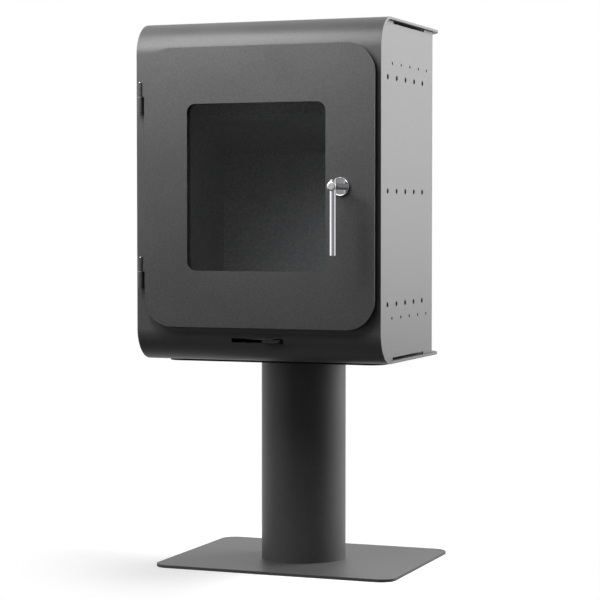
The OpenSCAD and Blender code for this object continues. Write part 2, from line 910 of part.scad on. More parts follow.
module fixed_knuckles() {
    color(anthracite) at_hinges() difference() {
        union() {
            cylinder(d = barrel_d, h = fixed_knuckle_l);
            translate([-barrel_r + knuckle_foot_inset, 0, 0])
                cube([barrel_d - 2 * knuckle_foot_inset, -hinge_y, fixed_knuckle_l]);
        }
        translate([0, 0, fixed_knuckle_l - pin_seat])
            cylinder(d = hinge_pin_d + 2 * snug_gap, h = pin_seat + over);
    }
}

module hinge_pins() {
    straight_l = pin_seat + hinge_l - fixed_knuckle_l + pin_tip / 2;
    color(polished) at_hinges() translate([0, 0, fixed_knuckle_l - pin_seat]) {
        cylinder(d = hinge_pin_d, h = straight_l);
        translate([0, 0, straight_l])
            cylinder(d1 = hinge_pin_d, d2 = hinge_pin_d - pin_tip, h = pin_tip / 2);
    }
}

module hinge_washers() {
    color(zinc) at_hinges() translate([0, 0, fixed_knuckle_l]) difference() {
        cylinder(d = barrel_d, h = washer_t);
        translate([0, 0, -over]) cylinder(d = hinge_pin_d + 2 * snug_gap, h = washer_t + 2 * over);
    }
}

module door_knuckles() {
    color(anthracite) at_hinges() translate([0, 0, hinge_l - door_knuckle_l]) difference() {
        union() {
            cylinder(d = barrel_d, h = door_knuckle_l);
            cube([barrel_r + barrel_gap - ear_w, door_t / 2, door_knuckle_l]);
        }
        translate([0, 0, -over])
            cylinder(d = hinge_pin_d + 2 * running_gap, h = door_knuckle_l + 2 * over);
    }
}

// ---- Door ----

// Ear that reaches from the door plate to its knuckle, with a slanting upper end
module hinge_ear(z) {
    polygon([
        [door_left + over, z + hinge_l - door_knuckle_l],
        [door_left - ear_w, z + hinge_l - door_knuckle_l],
        [door_left - ear_w, z + hinge_l],
        [door_left + over, z + hinge_l + 4 * ear_w]
    ]);
}

module door_plate() {
    color(anthracite) in_door() upright(door_front, door_t) difference() {
        union() {
            translate([plate_shift, 0]) rounded_rect(door_w, door_h, door_r);
            for (z = hinge_bases) {
                hinge_ear(z);
            }
        }
        rounded_rect(window_w, window_h, window_r);
        translate([handle_x, 0]) circle(d = bush_d + 2 * snug_gap);
    }
}

// Frame that follows the rope seal's middle line, drawn between two distances from it
module rope_frame(inner, outer) {
    frame_rect(rope_ring_w + 2 * outer, rope_ring_h + 2 * outer, rope_ring_r + outer, outer - inner);
}

module door_rope() {
    color(fibre) in_door() upright(door_back, rope_t) rope_frame(-rope_w / 2, rope_w / 2);
}

// Two thin strips that hold the rope seal between them
module rope_channel() {
    color(anthracite) in_door() translate([0, door_back, 0]) {
        upright(0, channel_h) rope_frame(rope_w / 2, rope_w / 2 + channel_t);
        upright(0, channel_h) rope_frame(-rope_w / 2 - channel_t, -rope_w / 2);
    }
}

module glass_gasket() {
    color(fibre) in_door() upright(door_back, gasket_t) difference() {
        square([glass_w, glass_h], center = true);
        square([glass_w - 2 * gasket_w, glass_h - 2 * gasket_w], center = true);
    }
}

module door_glass() {
    color(glass_grey, 0.4) in_door() upright(glass_y, glass_t)
        square([glass_w, glass_h], center = true);
}

// Places its children at the screws above and below the glass
module at_long_screws() {
    for (x = [-1, 0, 1]) {
        for (side = [-1, 1]) {
            translate([x * (glass_w / 2 - screw_inset), 0, side * (glass_h / 2 + boss_out)]) children();
        }
    }
}

// Places its children at the screws beside the glass
module at_clip_screws() {
    for (x = [-1, 1]) {
        for (side = [-1, 1]) {
            translate([x * (glass_w / 2 + boss_out), 0, side * clip_z]) children();
        }
    }
}

// Cuts the screw holes out of its children
module with_screw_holes() {
    difference() {
        children();
        translate([0, retainer_y - over, 0]) {
            at_long_screws() rod(screw_d + 2 * snug_gap, 0, retainer_t + 2 * over);
            at_clip_screws() rod(screw_d + 2 * snug_gap, 0, retainer_t + 2 * over);
        }
    }
}

module glass_retainers() {
    color(zinc) in_door() with_screw_holes() for (side = [-1, 1]) {
        upright(retainer_y, retainer_t)
            translate([0, side * (glass_h / 2 - glass_grip + retainer_w / 2)])
                square([glass_w, retainer_w], center = true);
    }
}

module glass_clips() {
    color(zinc) in_door() with_screw_holes() for (x = [-1, 1]) {
        for (side = [-1, 1]) {
            upright(retainer_y, retainer_t)
                translate([x * (glass_w / 2 - glass_grip + retainer_w / 2), side * clip_z])
                    square([retainer_w, clip_h], center = true);
        }
    }
}

// Blind threaded boss for a retainer screw
module boss() {
    difference() {
        rod(boss_d, 0, boss_t);
        rod(screw_d + 2 * snug_gap, boss_t - screw_grip, screw_grip + over);
    }
}

module glass_bosses() {
    color(zinc) in_door() translate([0, door_back, 0]) {
        at_long_screws() boss();
        at_clip_screws() boss();
    }
}

module retainer_screw() {
    rod(screw_d, -screw_grip, screw_grip + retainer_t);
    rod(screw_head_d, retainer_t, screw_head_t);
}

module retainer_screws() {
    color(zinc) in_door() translate([0, retainer_y, 0]) {
        at_long_screws() retainer_screw();
        at_clip_screws() retainer_screw();
    }
}

// ---- Handle and latch ----

module latch_bush() {
    color(zinc) at_handle() difference() {
        rod(bush_d, door_front, bush_end - door_front);
        rod(stem_d + 2 * running_gap, door_front - over, bush_end - door_front + 2 * over);
    }
}

module handle_rosette() {
    bore_r = stem_d / 2 + running_gap;
    rim_r = rosette_d / 2;
    color(polished) at_handle() translate([0, door_front, 0]) rotate([90, 0, 0]) rotate_extrude()
        polygon([
            [bore_r, 0],
            [rim_r, 0],
            [rim_r, rosette_t - rosette_bevel],
            [rim_r - rosette_bevel, rosette_t],
            [bore_r, rosette_t]
        ]);
}

// The stem turns in the bush. Its front end is hollowed to seat the bar and its rear end is
// squared for the tongue and threaded for the nut.
module handle_stem() {
    color(polished) at_handle() difference() {
        union() {
            rod(stem_d, rod_y, tongue_y - rod_y);
            translate([-square_w / 2, tongue_y, -square_w / 2]) cube([square_w, tongue_t, square_w]);
            rod(stud_d, tongue_y + tongue_t, nut_t + stud_end);
        }
        translate([0, rod_y, -stem_d]) cylinder(d = bar_d, h = 2 * stem_d);
        rod(cap_screw_d + 2 * snug_gap, rod_y, bar_d / 2 + cap_screw_grip + cap_screw_hole_end);
    }
}

module handle_bar() {
    l = bar_drop + bar_rise;
    color(polished) at_handle() difference() {
        translate([0, rod_y, -bar_drop]) {
            cylinder(d1 = bar_d - 2 * bar_chamfer, d2 = bar_d, h = bar_chamfer);
            translate([0, 0, bar_chamfer]) cylinder(d = bar_d, h = l - 2 * bar_chamfer);
            translate([0, 0, l - bar_chamfer])
                cylinder(d1 = bar_d, d2 = bar_d - 2 * bar_chamfer, h = bar_chamfer);
        }
        rod(cap_screw_d + 2 * snug_gap, rod_y - bar_d, 2 * bar_d);
    }
}

// Domed screw that holds the bar against the stem
module handle_screw() {
    dome_h = cap_t - cap_rim;
    dome_r = (pow(cap_d / 2, 2) + pow(dome_h, 2)) / (2 * dome_h);
    color(polished) at_handle() translate([0, rod_y - bar_d / 2, 0]) {
        rod(cap_screw_d, 0, bar_d + cap_screw_grip);
        rotate([90, 0, 0]) {
            cylinder(d = cap_d, h = cap_rim);
            intersection() {
                cylinder(d = cap_d, h = cap_t);
                translate([0, 0, cap_t - dome_r]) sphere(dome_r);
            }
        }
    }
}

module latch_tongue() {
    hub_r = bush_d / 2 + hub_lip;
    nose_x = tongue_reach - tongue_nose_r;
    color(zinc) at_handle() upright(tongue_y, tongue_t) difference() {
        union() {
            circle(hub_r);
            translate([0, -tongue_nose_r]) square([nose_x, 2 * tongue_nose_r]);
            translate([nose_x, 0]) circle(tongue_nose_r);
        }
        square(square_w + 2 * snug_gap, center = true);
    }
}

module latch_nut() {
    color(zinc) at_handle() translate([0, tongue_y + tongue_t, 0]) difference() {
        rotate([-90, 0, 0]) cylinder(d = nut_w / cos(30), h = nut_t, $fn = 6);
        rod(stud_d + 2 * snug_gap, -over, nut_t + 2 * over);
    }
}

floor_plate();
column();
mounting_plate();
mounting_bolts();
mounting_nuts();
outer_wrap();
left_side_panel();
right_side_panel();
rear_panel();
firebox_shell();
support_legs();
grate_shelf();
floor_lining();
left_lining();
right_lining();
rear_lining();
baffle();
grate();
ash_pan();
flue_spigot();
flue_bolts();
air_box();
slide_rails();
air_slide();
air_lever();
latch_keeper();
keeper_pin();
fixed_knuckles();
hinge_pins();
hinge_washers();
door_plate();
door_knuckles();
rope_channel();
door_rope();
glass_gasket();
door_glass();
glass_retainers();
glass_clips();
glass_bosses();
retainer_screws();
latch_bush();
handle_rosette();
handle_stem();
handle_bar();
handle_screw();
latch_tongue();
latch_nut();
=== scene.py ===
# %% [markdown]
# # A wood burning stove on a round column
#
# This is a lesson in cells, to be read from top to bottom. The stove's solids come from its CAD
# part and are already in place, in metres, with Z up and the door facing -Y. A solid whose shape
# is right only gets a finish. The parts that meet the eye first, such as the bent body sheet, the
# door and the handle, are modelled again here, because real sheet metal has softly broken edges
# that catch a thin line of light and a CAD solid's edges are perfectly sharp.

# %% Load the solids
import json
import math

import bmesh
import bpy
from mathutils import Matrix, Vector


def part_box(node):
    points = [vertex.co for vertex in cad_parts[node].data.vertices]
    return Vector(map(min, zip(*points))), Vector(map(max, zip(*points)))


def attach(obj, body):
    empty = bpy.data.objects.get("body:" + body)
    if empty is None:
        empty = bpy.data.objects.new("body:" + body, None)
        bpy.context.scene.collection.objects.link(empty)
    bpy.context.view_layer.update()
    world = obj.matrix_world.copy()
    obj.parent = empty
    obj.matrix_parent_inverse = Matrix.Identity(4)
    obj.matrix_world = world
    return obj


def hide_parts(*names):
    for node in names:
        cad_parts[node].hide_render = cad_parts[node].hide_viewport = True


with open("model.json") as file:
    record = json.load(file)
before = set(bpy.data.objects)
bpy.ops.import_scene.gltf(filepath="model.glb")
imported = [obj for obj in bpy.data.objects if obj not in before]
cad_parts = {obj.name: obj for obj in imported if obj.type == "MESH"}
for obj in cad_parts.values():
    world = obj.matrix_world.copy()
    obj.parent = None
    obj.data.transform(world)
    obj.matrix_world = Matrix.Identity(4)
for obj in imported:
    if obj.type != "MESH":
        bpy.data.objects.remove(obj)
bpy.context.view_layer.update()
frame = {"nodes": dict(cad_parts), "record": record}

nodes = frame["nodes"]

# %% [markdown]
# ## The viewpoint
#
# A stove is usually pictured from its own mid height, so that its uprights stay upright, and from
# far enough away that its depth doesn't look stretched. A long lens from nearly four metres does
# that. The camera stands a little to the right of the door, where it sees the front and one side.

# %% Camera
CAMERA_PLACE = (1.4436, -3.7972, 0.6896)
CAMERA_TURN = 20.921  # degrees to the left of the door's own direction
CAMERA_DIP = 2.360  # degrees below level

bpy.ops.object.camera_add(
    location=CAMERA_PLACE,
    rotation=(math.radians(90 - CAMERA_DIP), 0, math.radians(CAMERA_TURN)),
)
camera = bpy.context.object
camera.name = "camera"
camera.data.lens = 122.0
camera.data.sensor_width = 36.0
camera.data.clip_end = 60
bpy.context.scene.camera = camera
print("camera:", camera.data.lens, "mm lens at", CAMERA_PLACE)

# %% [markdown]
# ## Helpers for modelling
#
# Everything below is modelled the way it would be by hand: a box or a cylinder is added at its
# size and place, some of its edges or faces are picked, a tool is used on them, and a modifier
# finishes the shape. The helpers here only do the picking and the applying. Edges and faces are
# picked by where they are, because their numbers change with every step.

# %% Helpers that start, pick and finish
NEAR = 0.001  # an edge or face this close to a side of a piece lies on that side
PAST = 0.01  # how far a cutter runs past what it cuts


def make_active(piece):
    """Leaves edit mode and selects this piece alone."""
    if bpy.context.object is not None and bpy.context.object.mode != "OBJECT":
        bpy.ops.object.mode_set(mode="OBJECT")
    bpy.ops.object.select_all(action="DESELECT")
    piece.select_set(True)
    bpy.context.view_layer.objects.active = piece


def settle(piece, name):
    """Names a new piece and puts its place, turn and size into its mesh."""
    piece.name = name
    piece.data.name = name
    make_active(piece)
    bpy.ops.object.transform_apply(location=True, rotation=True, scale=True)
    return piece


def add_block(name, low, high):
    """A box between its lowest and highest corners."""
    low, high = Vector(low), Vector(high)
    bpy.ops.mesh.primitive_cube_add(size=1, location=(low + high) / 2)
    block = bpy.context.object
    block.scale = high - low
    return settle(block, name)


def add_rod(name, middle, radius, length, axis, vertices=64):
    """A round rod about its middle, along X (0), Y (1) or Z (2)."""
    turn = ((0, math.pi / 2, 0), (math.pi / 2, 0, 0), (0, 0, 0))[axis]
    bpy.ops.mesh.primitive_cylinder_add(
        vertices=vertices, radius=radius, depth=length, location=middle, rotation=turn
    )
    return settle(bpy.context.object, name)


def pick(piece, kind, chosen):
    """Opens the piece for editing with the edges or faces picked that chosen(middle, way) passes.
    way is the direction of an edge or the normal of a face."""
    make_active(piece)
    bpy.ops.object.mode_set(mode="EDIT")
    bpy.ops.mesh.select_mode(type=kind)
    bpy.ops.mesh.select_all(action="DESELECT")
    shape = bmesh.from_edit_mesh(piece.data)
    shape.normal_update()
    for part in shape.edges if kind == "EDGE" else shape.faces:
        corners = [v.co for v in part.verts]
        middle = sum(corners, Vector()) / len(corners)
        way = (corners[1] - corners[0]).normalized() if kind == "EDGE" else part.normal
        if chosen(middle, way):
            part.select_set(True)
    bmesh.update_edit_mesh(piece.data)


def close_edit():
    bpy.ops.object.mode_set(mode="OBJECT")


def round_corners(piece, axis, radius, segments=16, chosen=lambda middle: True):
    """Rounds the edges that run along an axis, which are the corners seen from that side."""
    pick(piece, "EDGE", lambda middle, way: abs(way[axis]) > 0.999 and chosen(middle))
    bpy.ops.mesh.bevel(offset=radius, segments=segments, profile=0.5, affect="EDGES")
    close_edit()


def modify(piece, kind, **settings):
    """Adds a modifier to the piece and applies it."""
    make_active(piece)
    modifier = piece.modifiers.new(kind.lower(), kind)
    for name, value in settings.items():
        setattr(modifier, name, value)
    bpy.ops.object.modifier_apply(modifier=modifier.name)


def cut(piece, cutter):
    """Takes the cutter's shape out of the piece and removes the cutter."""
    modify(piece, "BOOLEAN", operation="DIFFERENCE", object=cutter, solver="EXACT")
    bpy.data.objects.remove(cutter)


def join_on(piece, other):
    """Joins the other piece's shape to the piece and removes the other."""
    modify(piece, "BOOLEAN", operation="UNION", object=other, solver="EXACT")
    bpy.data.objects.remove(other)


def break_edges(piece, width, segments=2, angle=35):
    """Breaks every sharp edge by a small width and shades flats as flat and rounds as round."""
    modify(
        piece, "BEVEL", width=width, segments=segments, limit_method="ANGLE",
        angle_limit=math.radians(angle), miter_outer="MITER_ARC",
    )
    bpy.ops.object.shade_smooth_by_angle(angle=math.radians(50))
    modify(piece, "WEIGHTED_NORMAL", keep_sharp=True, weight=100)


def report(piece):
    low = [min(v.co[i] for v in piece.data.vertices) for i in range(3)]
    high = [max(v.co[i] for v in piece.data.vertices) for i in range(3)]
    size = [round((high[i] - low[i]) * 1000, 1) for i in range(3)]
    print(piece.name, "-", len(piece.data.polygons), "faces,", size, "mm")


print("helpers are ready")

# %% [markdown]
# ## Helpers for finishes
#
# Colours are written as they look on a screen, in sRGB hex, and one function turns them into the
# linear values that a shader works with. A second function adds a node with its settings, its
# values and what feeds it, so that a finish reads as a short list of nodes. Patterns read Object
# coordinates, which are metres on every piece, so a scale of 1 / 0.002 is a pattern of 2 mm.


# %% Helpers for colours and nodes
def linear(hex_colour):
    """An sRGB hex colour, such as "4b4a4b", as linear red, green, blue and alpha."""
    values = [int(hex_colour[i : i + 2], 16) / 255 for i in (0, 2, 4)]
    return (
        *[v / 12.92 if v <= 0.04045 else ((v + 0.055) / 1.055) ** 2.4 for v in values],
        1.0,
    )


def add_node(tree, kind, settings=None, values=None, links=None):
    """A node with its settings, the values of its inputs and the sockets that feed them."""
    node = tree.nodes.new(kind)
    for name, value in (settings or {}).items():
        setattr(node, name, value)
    for name, value in (values or {}).items():
        node.inputs[name].default_value = value
    for name, source in (links or {}).items():
        tree.links.new(source, node.inputs[name])
    return node


def start_finish(name):
    """A material with one Principled shader, and the Object coordinates for its patterns."""
    finish = bpy.data.materials.new(name)
    finish.use_nodes = True
    tree = finish.node_tree
    tree.nodes.clear()
    shader = add_node(tree, "ShaderNodeBsdfPrincipled")
    add_node(tree, "ShaderNodeOutputMaterial", links={"Surface": shader.outputs["BSDF"]})
    place = add_node(tree, "ShaderNodeTexCoord").outputs["Object"]
    return finish, tree, shader, place


print("a mid grey:", [round(v, 3) for v in linear("808080")])

# %% [markdown]
# ## Stove paint
#
# The body is sprayed with heat resistant silicone paint in matt anthracite and cured in an oven.
# Dried droplets leave a fine grain, like very fine sandpaper, and its binder is glossier than it
# looks from the front: seen at a low angle the paint turns silvery. So the shader keeps a normal
# coat's IOR with a middle roughness. The grain goes into the colour, the roughness and the bump.
# It gives the eye a dull surface that isn't quite even, while broad soft clouds in the coat keep a
# large sheet from looking printed. Real grain is about 0.2 mm. It is drawn at 2 mm, so that it
# still shows from afar.

# %% Stove paint, and a black version of it that is painted shade
GRAIN = 0.002
CLOUD = 0.18  # soft differences in how thickly the paint was sprayed


def sprayed_paint(name, dark, light, roughness, spread, gloss_level):
    paint, tree, shader, place = start_finish(name)
    shader.inputs["Specular IOR Level"].default_value = gloss_level
    grain = add_node(
        tree, "ShaderNodeTexNoise",
        values={"Scale": 1 / GRAIN, "Detail": 3.0, "Roughness": 0.6}, links={"Vector": place},
    )
    cloud = add_node(
        tree, "ShaderNodeTexNoise",
        values={"Scale": 1 / CLOUD, "Detail": 2.0, "Roughness": 0.5}, links={"Vector": place},
    )
    blend = add_node(
        tree, "ShaderNodeMix", {"data_type": "FLOAT"},
        values={"Factor": 0.3}, links={"A": grain.outputs["Fac"], "B": cloud.outputs["Fac"]},
    )
    colour = add_node(tree, "ShaderNodeValToRGB", links={"Fac": blend.outputs["Result"]})
    colour.color_ramp.elements[0].position = 0.40
    colour.color_ramp.elements[0].color = linear(dark)
    colour.color_ramp.elements[1].position = 0.60
    colour.color_ramp.elements[1].color = linear(light)
    gloss = add_node(
        tree, "ShaderNodeMapRange",
        values={"From Min": 0.3, "From Max": 0.7, "To Min": roughness - spread,
                "To Max": roughness + spread},
        links={"Value": blend.outputs["Result"]},
    )
    bump = add_node(
        tree, "ShaderNodeBump", values={"Strength": 0.5, "Distance": 0.00015},
        links={"Height": grain.outputs["Fac"]},
    )
    tree.links.new(colour.outputs["Color"], shader.inputs["Base Color"])
    tree.links.new(gloss.outputs["Result"], shader.inputs["Roughness"])
    tree.links.new(bump.outputs["Normal"], shader.inputs["Normal"])
    return paint


stove_paint = sprayed_paint("silicone_stove_paint_anthracite", "424142", "504f50", 0.46, 0.04, 0.5)
# The black version is painted shade. It goes on the carrier plate and the air lever, which lie in
# shade.
black_paint = sprayed_paint("stove_paint_black_for_painted_shade", "121212", "1d1d1d", 0.70, 0.05, 0.25)
print("made:", stove_paint.name, "and", black_paint.name)

# %% [markdown]
# ## Metals
#
# The handle is turned from stainless steel and polished along its length, which leaves hair fine
# lines. Screws and clips are zinc plated steel: paler, duller, and slightly cloudy where the
# plating crystals differ. The grate is raw cast iron, which keeps the rough skin of its sand
# mould. A metal's colour is its reflection, so it goes into the base colour with Metallic at 1,
# and the default IOR stays.


# %% Stainless steel, zinc plating and cast iron
def lined_metal(name, hex_colour, roughness, spacing, stretch, relief):
    """A metal with fine lines: spacing apart, and stretched along one axis."""
    metal, tree, shader, place = start_finish(name)
    shader.inputs["Base Color"].default_value = linear(hex_colour)
    shader.inputs["Metallic"].default_value = 1.0
    turned = add_node(tree, "ShaderNodeMapping", values={"Scale": stretch}, links={"Vector": place})
    lines = add_node(
        tree, "ShaderNodeTexNoise",
        values={"Scale": 1 / spacing, "Detail": 2.0, "Roughness": 0.5},
        links={"Vector": turned.outputs["Vector"]},
    )
    gloss = add_node(
        tree, "ShaderNodeMapRange",
        values={"From Min": 0.3, "From Max": 0.7, "To Min": roughness * 0.75,
                "To Max": roughness * 1.3},
        links={"Value": lines.outputs["Fac"]},
    )
    bump = add_node(
        tree, "ShaderNodeBump", values={"Strength": relief, "Distance": 0.00002},
        links={"Height": lines.outputs["Fac"]},
    )
    tree.links.new(gloss.outputs["Result"], shader.inputs["Roughness"])
    tree.links.new(bump.outputs["Normal"], shader.inputs["Normal"])
    return metal


# Lines 0.4 mm apart that run up and down the bar, plating crystals of about 3 mm, and a duller
# brushed finish for the domed screw
stainless = lined_metal("stainless_steel_polished", "d6d6d8", 0.09, 0.0004, (1, 1, 0.02), 0.25)
zinc_steel = lined_metal("steel_zinc_plated", "a9acb0", 0.34, 0.003, (1, 1, 1), 0.3)
satin_steel = lined_metal("stainless_steel_satin", "d6d6d8", 0.36, 0.0004, (1, 1, 0.02), 0.25)


def cast_skin(name, dark, light, grit):
    """Raw cast iron: a dark, matt, pitted skin with grit of the mould's sand."""
    iron, tree, shader, place = start_finish(name)
    sand = add_node(
        tree, "ShaderNodeTexNoise",
        values={"Scale": 1 / grit, "Detail": 5.0, "Roughness": 0.65}, links={"Vector": place},
    )
    colour = add_node(tree, "ShaderNodeValToRGB", links={"Fac": sand.outputs["Fac"]})
    colour.color_ramp.elements[0].position = 0.35
    colour.color_ramp.elements[0].color = linear(dark)
    colour.color_ramp.elements[1].position = 0.70
    colour.color_ramp.elements[1].color = linear(light)
    bump = add_node(
        tree, "ShaderNodeBump", values={"Strength": 0.8, "Distance": 0.0004},
        links={"Height": sand.outputs["Fac"]},
    )
    shader.inputs["Roughness"].default_value = 0.72
    shader.inputs["Metallic"].default_value = 0.6
    tree.links.new(colour.outputs["Color"], shader.inputs["Base Color"])
    tree.links.new(bump.outputs["Normal"], shader.inputs["Normal"])
    return iron


cast_iron = cast_skin("cast_iron_raw", "2b2a2a", "454342", 0.0012)
print("made:", [m.name for m in (stainless, satin_steel, zinc_steel, cast_iron)])

# %% [markdown]
# ## Fire chamber lining
#
# The chamber is lined with pressed vermiculite boards. Vermiculite is a flaky mica: the boards
# are sandy grey with flakes of 1 to 4 mm that differ a little in tone. A cell pattern gives the
# flakes, because each of its cells has one tone and a clear edge. The boards of this stove are
# dark, as if a few fires had darkened them.

# %% Vermiculite board
FLAKE = 0.003

lining, tree, shader, place = start_finish("vermiculite_board_sooted")
flakes = add_node(
    tree, "ShaderNodeTexVoronoi", values={"Scale": 1 / FLAKE, "Randomness": 1.0},
    links={"Vector": place},
)
soot = add_node(
    tree, "ShaderNodeTexNoise", values={"Scale": 1 / 0.15, "Detail": 3.0}, links={"Vector": place}
)
flake_tone = add_node(tree, "ShaderNodeSeparateColor", links={"Color": flakes.outputs["Color"]})
tone = add_node(
    tree, "ShaderNodeMix", {"data_type": "FLOAT"},
    values={"Factor": 0.6}, links={"A": flake_tone.outputs["Red"], "B": soot.outputs["Fac"]},
)
colour = add_node(tree, "ShaderNodeValToRGB", links={"Fac": tone.outputs["Result"]})
colour.color_ramp.elements[0].position = 0.25
colour.color_ramp.elements[0].color = linear("6c6c6b")
colour.color_ramp.elements[1].position = 0.75
colour.color_ramp.elements[1].color = linear("8a8988")
bump = add_node(
    tree, "ShaderNodeBump", values={"Strength": 0.5, "Distance": 0.0004},
    links={"Height": flakes.outputs["Distance"]},
)
shader.inputs["Roughness"].default_value = 0.9
tree.links.new(colour.outputs["Color"], shader.inputs["Base Color"])
tree.links.new(bump.outputs["Normal"], shader.inputs["Normal"])
print("made:", lining.name)

# %% [markdown]
# ## Glass and rope
#
# The window is ceramic glass, 4 mm thick, clear with a faint grey tint. A real pane throws almost
# no shadow, but a renderer's glass blocks the light of a lamp, so the finish lets shadow rays
# pass: that is the one place where a second shader is mixed in.
#
# The door closes on a rope knitted from glass fibre. Its loops run along it in short slanted
# rows. Two wave patterns at an angle give that, with a period of 3 mm.

# %% Ceramic glass
glass, tree, shader, place = start_finish("ceramic_glass_clear")
shader.inputs["Base Color"].default_value = linear("c9cbcd")
shader.inputs["Roughness"].default_value = 0.02
shader.inputs["IOR"].default_value = 1.53
shader.inputs["Transmission Weight"].default_value = 1.0
haze = add_node(
    tree, "ShaderNodeTexNoise", values={"Scale": 1 / 0.08, "Detail": 3.0}, links={"Vector": place}
)
smears = add_node(
    tree, "ShaderNodeMapRange",
    values={"From Min": 0.4, "From Max": 0.8, "To Min": 0.01, "To Max": 0.05},
    links={"Value": haze.outputs["Fac"]},
)
tree.links.new(smears.outputs["Result"], shader.inputs["Roughness"])
lamps_pass = add_node(tree, "ShaderNodeBsdfTransparent", values={"Color": linear("d8dadc")})
light_path = add_node(tree, "ShaderNodeLightPath")
two_ways = add_node(
    tree, "ShaderNodeMixShader",
    links={0: light_path.outputs["Is Shadow Ray"], 1: shader.outputs["BSDF"],
           2: lamps_pass.outputs["BSDF"]},
)
output = next(n for n in tree.nodes if n.type == "OUTPUT_MATERIAL")
tree.links.new(two_ways.outputs["Shader"], output.inputs["Surface"])
print("made:", glass.name)

# %% Knitted glass fibre rope
STITCH = 0.003
WAVES = 3.2  # in a metre of a wave texture whose scale is 1

rope, tree, shader, place = start_finish("glass_fibre_rope_knitted")
heights = []
for slant in (40, -40):
    turned = add_node(
        tree, "ShaderNodeMapping", values={"Rotation": (0, math.radians(slant), 0)},
        links={"Vector": place},
    )
    wave = add_node(
        tree, "ShaderNodeTexWave", {"bands_direction": "X"},
        values={"Scale": 1 / STITCH / WAVES, "Distortion": 0.6, "Detail": 1.0},
        links={"Vector": turned.outputs["Vector"]},
    )
    heights.append(wave.outputs["Fac"])
knit = add_node(
    tree, "ShaderNodeMath", {"operation": "MAXIMUM"}, links={0: heights[0], 1: heights[1]}
)
colour = add_node(tree, "ShaderNodeValToRGB", links={"Fac": knit.outputs[0]})
colour.color_ramp.elements[0].color = linear("1b1a19")
colour.color_ramp.elements[1].color = linear("454240")
bump = add_node(
    tree, "ShaderNodeBump", values={"Strength": 0.9, "Distance": 0.0008},
    links={"Height": knit.outputs[0]},
)
shader.inputs["Roughness"].default_value = 0.85
tree.links.new(colour.outputs["Color"], shader.inputs["Base Color"])
tree.links.new(bump.outputs["Normal"], shader.inputs["Normal"])
print("made:", rope.name)

# %% [markdown]
# ## A finish for every solid
#
# The record says which material each solid is made of. The finishes above go on by that list, so
# that no solid is left bare. Pieces modelled below then take the place of some of them.

# %% Put the finishes on the solids
finish_of = {
    "stove_paint": stove_paint, "black_paint": black_paint, "stainless": stainless,
    "zinc_steel": zinc_steel, "cast_iron": cast_iron, "lining": lining, "glass": glass,
    "rope": rope,
}
for part in frame["record"]["subparts"]:
    solid = nodes[part["node"]]
    solid.data.materials.clear()
    solid.data.materials.append(finish_of[part["material_slot"]])


def dress(piece, body, material_slot, *solids, finish=None):
    """Gives a new piece its finish, lets it ride on its body and hides the solids it stands for."""
    piece.data.materials.clear()
    piece.data.materials.append(finish or finish_of[material_slot])
    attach(piece, body)
    if solids:
        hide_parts(*solids)
    report(piece)


# %% [markdown]
# ## The pedestal
#
# The stove stands on a floor plate cut from 6 mm steel, a length of 168 mm steel tube, and a
# carrier plate bolted under the body. A plate is a box with its corners rounded and its cut edges
# broken. The tube is a cylinder with its two ends removed and a wall given by Solidify.

# %% Floor plate, column and carrier plate
PLATE_ROUND = 0.030
TUBE_RADIUS = 0.16825 / 2
TUBE_WALL = 0.004
EDGE = 0.0007  # how much the edges of laser cut plate are broken

low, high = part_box("floor_plate")
floor_plate = add_block("floor_plate_steel", low, high)
round_corners(floor_plate, 2, PLATE_ROUND, 16)
break_edges(floor_plate, EDGE)
dress(floor_plate, "stove_body", "stove_paint", "floor_plate")

low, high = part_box("column")
middle = (low + high) / 2
column = add_rod("column_tube", middle, TUBE_RADIUS, high.z - low.z, 2, vertices=160)
pick(column, "FACE", lambda middle, normal: abs(normal.z) > 0.9)
bpy.ops.mesh.delete(type="FACE")
close_edit()
modify(column, "SOLIDIFY", thickness=TUBE_WALL, offset=-1, use_even_offset=True)
bpy.ops.object.shade_smooth_by_angle(angle=math.radians(30))
dress(column, "stove_body", "stove_paint", "column")

low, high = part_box("mounting_plate")
carrier = add_block("carrier_plate", low, high)
round_corners(carrier, 2, PLATE_ROUND, 16)
break_edges(carrier, EDGE)
# The carrier plate lies in the body's shadow, and its black paint is painted shade.
dress(carrier, "stove_body", "black_paint", "mounting_plate")

# %% [markdown]
# ## The body sheet
#
# Front, top and underside of the body are one 5 mm sheet, folded twice over a 60 mm radius. The
# quickest way to a folded sheet is to start from the whole box: its two front edges are bevelled
# to the fold's radius and its rear corners are rounded as much, the sides and back are deleted,
# and Solidify gives the skin its thickness inwards. The fire opening and the slot for the air
# lever are then cut with simple blocks.

# %% Body sheet
SHEET = 0.005
FOLD = 0.060
REAR_ROUND = 0.060
FIRE_OPENING = ((-0.1995, 0.505), (0.2065, 0.983))  # lower left and upper right corner, X and Z
FIRE_OPENING_ROUND = 0.020
AIR_SLOT = ((-0.0525, 0.4503), (0.0535, 0.4583))


def front_cutter(corners, front, back):
    """A block that cuts between two corners (X and Z), from one depth to another."""
    (left, bottom), (right, top) = corners
    return add_block("cutter", (left, front, bottom), (right, back, top))


low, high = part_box("outer_wrap")
body_sheet = add_block("body_sheet", low, high)
round_corners(body_sheet, 0, FOLD, 28, lambda middle: middle.y < low.y + NEAR)
round_corners(body_sheet, 2, REAR_ROUND, 28, lambda middle: middle.y > high.y - NEAR)
pick(body_sheet, "FACE", lambda middle, normal: abs(normal.x) > 0.2 or normal.y > 0.2)
bpy.ops.mesh.delete(type="FACE")
close_edit()
modify(body_sheet, "SOLIDIFY", thickness=SHEET, offset=-1, use_even_offset=True)

fire_opening = front_cutter(FIRE_OPENING, low.y - PAST, low.y + PAST)
round_corners(fire_opening, 1, FIRE_OPENING_ROUND, 12)
cut(body_sheet, fire_opening)
